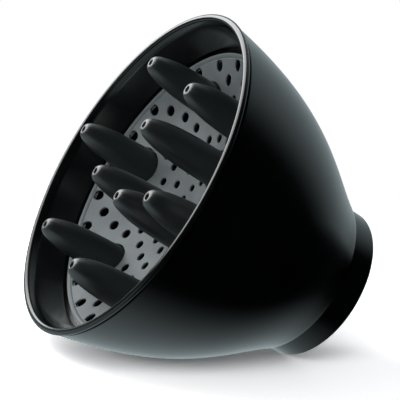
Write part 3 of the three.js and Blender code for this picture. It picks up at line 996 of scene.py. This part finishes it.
def finger_outline(tip_z, foot_z):
    """A hollow finger's profile: the hole in its tip, its outside down to the foot, its inside."""
    length = tip_z - foot_z
    outline = [
        (FINGER_HOLE_RADIUS, tip_z - FINGER_HOLE_DEPTH, 0),
        (FINGER_HOLE_RADIUS, tip_z - 0.1, 0.3),
        (FINGER_FLAT_RADIUS, tip_z, 0.2),
    ]
    shoulder = finger_radius(TIP_ROUND)
    slope = (FINGER_BASE_RADIUS - shoulder) / FINGER_TAPER
    bend = shoulder - slope * TIP_ROUND
    for i in range(1, SHOULDER_STEPS + 1):
        t = i / SHOULDER_STEPS
        radius = SHOULDER_RADIUS * (1 - t) ** 2 + bend * 2 * t * (1 - t) + shoulder * t * t
        outline.append((radius, tip_z - TIP_ROUND * t * t))
    for i in range(1, FINGER_STEPS + 1):    # closer together near the tip
        depth = TIP_ROUND + (length - TIP_ROUND) * (i / FINGER_STEPS) ** 1.5
        outline.append((finger_radius(depth), tip_z - depth))
    outline.append((finger_radius(length) - FINGER_WALL, foot_z))
    for i in range(FINGER_STEPS, 0, -1):
        depth = FINGER_HOLLOW_DEPTH + (length - FINGER_HOLLOW_DEPTH) * i / FINGER_STEPS
        if depth < length - 0.5:    # clear of the corner at the foot
            outline.append((finger_radius(depth) - FINGER_WALL, tip_z - depth))
    depth = FINGER_HOLLOW_DEPTH
    outline.append((finger_radius(depth) - FINGER_WALL, tip_z - depth, 0.5))
    return outline[::-1]


def finger_flange(ring):
    """The flange that holds a finger behind the dish, tilted to lie along its sphere."""
    reach = DISH_SPHERE + DISH_WALL + GAP
    low_z, high_z = -reach - FINGER_FLANGE_THICKNESS, -reach
    washer = [
        (FINGER_FLANGE_BORE, low_z, 0.2), (FINGER_FLANGE_RADIUS, low_z, 0.2),
        (FINGER_FLANGE_RADIUS, high_z, 0.2), (FINGER_FLANGE_BORE, high_z, 0.2),
    ]
    bm = turned_bmesh(filleted(washer, 3), FINGER_FLANGE_SIDES)
    tilt = math.asin(ring["radius"] / DISH_SPHERE)
    bmesh.ops.rotate(bm, matrix=Matrix.Rotation(-tilt, 3, "Y"), verts=bm.verts)
    sphere_centre = (-ring["radius"], 0, DISH_CENTRE_Z + DISH_SPHERE)
    bmesh.ops.translate(bm, vec=sphere_centre, verts=bm.verts)
    return new_object("flange", bm)


def make_finger(name, ring, angle, tip_z, foot_z):
    bm = turned_bmesh(filleted(finger_outline(tip_z, foot_z), 4), FINGER_SIDES)
    body = new_object(name, bm)
    combine(body, [finger_flange(ring)], "UNION")
    at = polar(ring["radius"], angle) * MM
    turn = Matrix.Rotation(math.radians(angle), 4, "Z")
    body.data.transform(Matrix.Translation(at) @ turn)
    return body


def make_fingers():
    rings = [
        ("outer", OUTER_FINGERS, OUTER_TIP_Z, OUTER_FOOT_Z),
        ("inner", INNER_FINGERS, INNER_TIP_Z, INNER_FOOT_Z),
    ]
    for label, ring, tip_z, foot_z in rings:
        for i, angle in enumerate(ring["angles"], 1):
            node = f"finger_{label}_{i}"
            piece = make_finger(f"{node}_skin", ring, angle, tip_z, foot_z)
            finish_piece(piece, "bell", CHARCOAL, node)


def make_collar():
    mouth_radius, mouth_depth = COLLAR_MOUTH
    low_z, high_z = FLANGE_Z
    outline = [
        (mouth_radius, 0, 0.3), (COLLAR_RADIUS, 0, 0.45),
        (COLLAR_RADIUS, low_z, 0.15), (FLANGE_RADIUS, low_z, 0.3),
        (FLANGE_RADIUS, high_z, 0.3), (COLLAR_THROAT_OUTSIDE, high_z, 0.2),
        (COLLAR_THROAT_OUTSIDE, COLLAR_TOP_Z, 0.3), (COLLAR_THROAT_RADIUS, COLLAR_TOP_Z, 0.6),
        (COLLAR_THROAT_RADIUS, COLLAR_STOP_Z, 0.4), (COLLAR_BORE, COLLAR_STOP_Z, 0.25),
        (COLLAR_BORE, mouth_depth, 0.4),
    ]
    finish_piece(turned("collar_skin", outline), "collar", GLOSS_BLACK, "collar")


def make_tab(number, angle):
    """A curved tongue with a hook that snaps over the nozzle."""
    hook_foot, hook_crest, hook_end = TAB_HOOK_Z
    outline = filleted([
        (TAB_INSIDE_FOOT, TAB_LOW_Z, 0.25), (TAB_OUTSIDE, TAB_LOW_Z, 0.3),
        (TAB_OUTSIDE, TAB_HIGH_Z, 0.15), (TAB_INSIDE_TOP, TAB_HIGH_Z, 0.15),
        (TAB_INSIDE_TOP, hook_end, 1.2), (TAB_HOOK_RADIUS, hook_crest, 0.5),
        (TAB_HOOK_RADIUS, hook_foot, 0.5),
    ])
    half_angle = math.degrees(math.asin(TAB_WIDTH / 2 / TAB_MIDDLE))
    bm = bmesh.new()
    sections = []
    for i in range(TAB_STEPS + 1):
        turn = -half_angle + 2 * half_angle * i / TAB_STEPS
        sections.append([bm.verts.new(polar(r, angle + turn, z)) for r, z in outline])
    join_loops(bm, sections)
    caps = [bm.faces.new(sections[0][::-1]), bm.faces.new(sections[-1])]
    rims = {edge for cap in caps for edge in cap.edges}
    bmesh.ops.recalc_face_normals(bm, faces=bm.faces)
    bmesh.ops.bevel(bm, geom=list(rims), offset=0.2, segments=3, profile=0.5, affect="EDGES",
                    clamp_overlap=True)
    tab = new_object(f"latch_tab_{number}_skin", bm)
    finish_piece(tab, f"tab_{number}", DULL_BLACK, f"latch_tab_{number}")


def make_retaining_ring():
    outline = [
        (RETAINER_BORE, RING_LOW_Z, 0.3), (RING_RADIUS, RING_LOW_Z, 0.25),
        (RING_RADIUS, RING_HIGH_Z, 0.25), (RETAINER_BORE, RING_HIGH_Z, 0.3),
    ]
    ring = turned("retaining_ring_skin", outline)
    finish_piece(ring, "bell", DULL_BLACK, "retaining_ring")


def make_baffle():
    low_z = ARM_HIGH_Z - ARM_WALL
    edge_radius, edge_depth = BAFFLE_NOSE_EDGE
    bowl = [
        (0, low_z - BAFFLE_NOSE_DEPTH), (edge_radius, low_z - edge_depth, 3),
        (BAFFLE_RADIUS, low_z, 0.4), (BAFFLE_RADIUS, ARM_HIGH_Z, 0.5),
        (BAFFLE_NOSE_INSIDE, low_z - edge_depth + ARM_WALL, 3),
        (0, low_z - BAFFLE_NOSE_DEPTH + ARM_WALL),
    ]
    baffle = turned("air_baffle_skin", bowl, BAFFLE_SIDES)
    shape = [(ARM_ROOT, ARM_HALF_WIDTH), (ARM_ROOT, -ARM_HALF_WIDTH)]
    shape += arc((BAFFLE_SCREW_RADIUS, 0), ARM_HALF_WIDTH, -90, 90, ARM_END_STEPS)
    arms = [turned_about_axis("arm", rounded_prism(shape, low_z, ARM_HIGH_Z), angle)
            for angle in BAFFLE_SCREW_ANGLES]
    combine(baffle, arms, "UNION")
    bored(baffle, BAFFLE_SCREW_RADIUS, BAFFLE_SCREW_ANGLES, low_z, ARM_HIGH_Z)
    finish_piece(baffle, "bell", DULL_BLACK, "air_baffle")


def screw_outline(length):
    """A pan-head screw's profile from its point, with the head's underside at height 0."""
    outline = [(0, -length), (SCREW_CORE * 0.6, -length)]
    for i in range(int((length - 1.0) / SCREW_PITCH)):
        z = -length + 0.3 + i * SCREW_PITCH
        outline += [(SCREW_CORE, z), (SCREW_CREST, z + SCREW_PITCH * 0.35)]
        outline += [(SCREW_CREST, z + SCREW_PITCH * 0.5), (SCREW_CORE, z + SCREW_PITCH * 0.85)]
    outline += [(SCREW_NECK, -0.3), (SCREW_NECK, 0), (SCREW_HEAD_RADIUS, 0, 0.15)]
    outline += [(SCREW_HEAD_RADIUS, 1.0, 0.6), (1.6, SCREW_HEAD_HEIGHT, 0.6)]
    return outline + [(0, SCREW_HEAD_HEIGHT)]


def make_screw(node, length, at, flip):
    """A pan-head screw with a cross recess and a threaded shank."""
    screw = turned(f"{node}_skin", screw_outline(length), SCREW_SIDES)
    bars = []
    for quarter in (0, 90):
        bm = bmesh.new()
        bmesh.ops.create_cube(bm, size=1)
        bmesh.ops.scale(bm, vec=RECESS_BAR, verts=bm.verts)
        bmesh.ops.translate(bm, vec=(0, 0, RECESS_Z), verts=bm.verts)
        bars.append(turned_about_axis("bar", bm, quarter))
    combine(screw, bars, "DIFFERENCE")
    turn = Matrix.Rotation(math.pi, 4, "X") if flip else Matrix.Identity(4)
    screw.data.transform(Matrix.Translation(at * MM) @ turn)
    finish_piece(screw, "bell", STEEL, node)


def make_screws():
    for i, angle in enumerate(BAFFLE_SCREW_ANGLES, 1):
        at = polar(BAFFLE_SCREW_RADIUS, angle, ARM_HIGH_Z + GAP)
        make_screw(f"baffle_screw_{i}", BAFFLE_SCREW_LENGTH, at, False)
    for i, angle in enumerate(SCREW_ANGLES, 1):
        at = polar(PLATE_SCREW_RADIUS, angle, LUG_LOW_Z - GAP)
        make_screw(f"plate_screw_{i}", PLATE_SCREW_LENGTH, at, True)


# ---- scene ----

camera_back = make_camera()
studio_right, studio_away, studio_up = studio_axes(camera_back)
make_floor()
make_world()
bpy.context.scene.view_settings.view_transform = "Standard"

# The key and front boxes light the surfaces, and the glow box is only seen in their gloss.
# Their places and strengths were matched to the photograph.
key = add_light("key_box", azimuth=-84, elevation=28, width=860, height=760, radiance=3.5)
key.visible_glossy = False
glow = add_light("glow_box", azimuth=-66, elevation=40, width=1000, height=760, radiance=5.0)
glow.visible_diffuse = False
front = add_light("front_box", azimuth=-172, elevation=28, width=420, height=420, radiance=8.6)
front.visible_glossy = False

make_bell()
make_rim()
make_plate()
make_fingers()
make_collar()
for tab_number, tab_angle in enumerate(TAB_ANGLES, 1):
    make_tab(tab_number, tab_angle)
make_retaining_ring()
make_baffle()
make_screws()
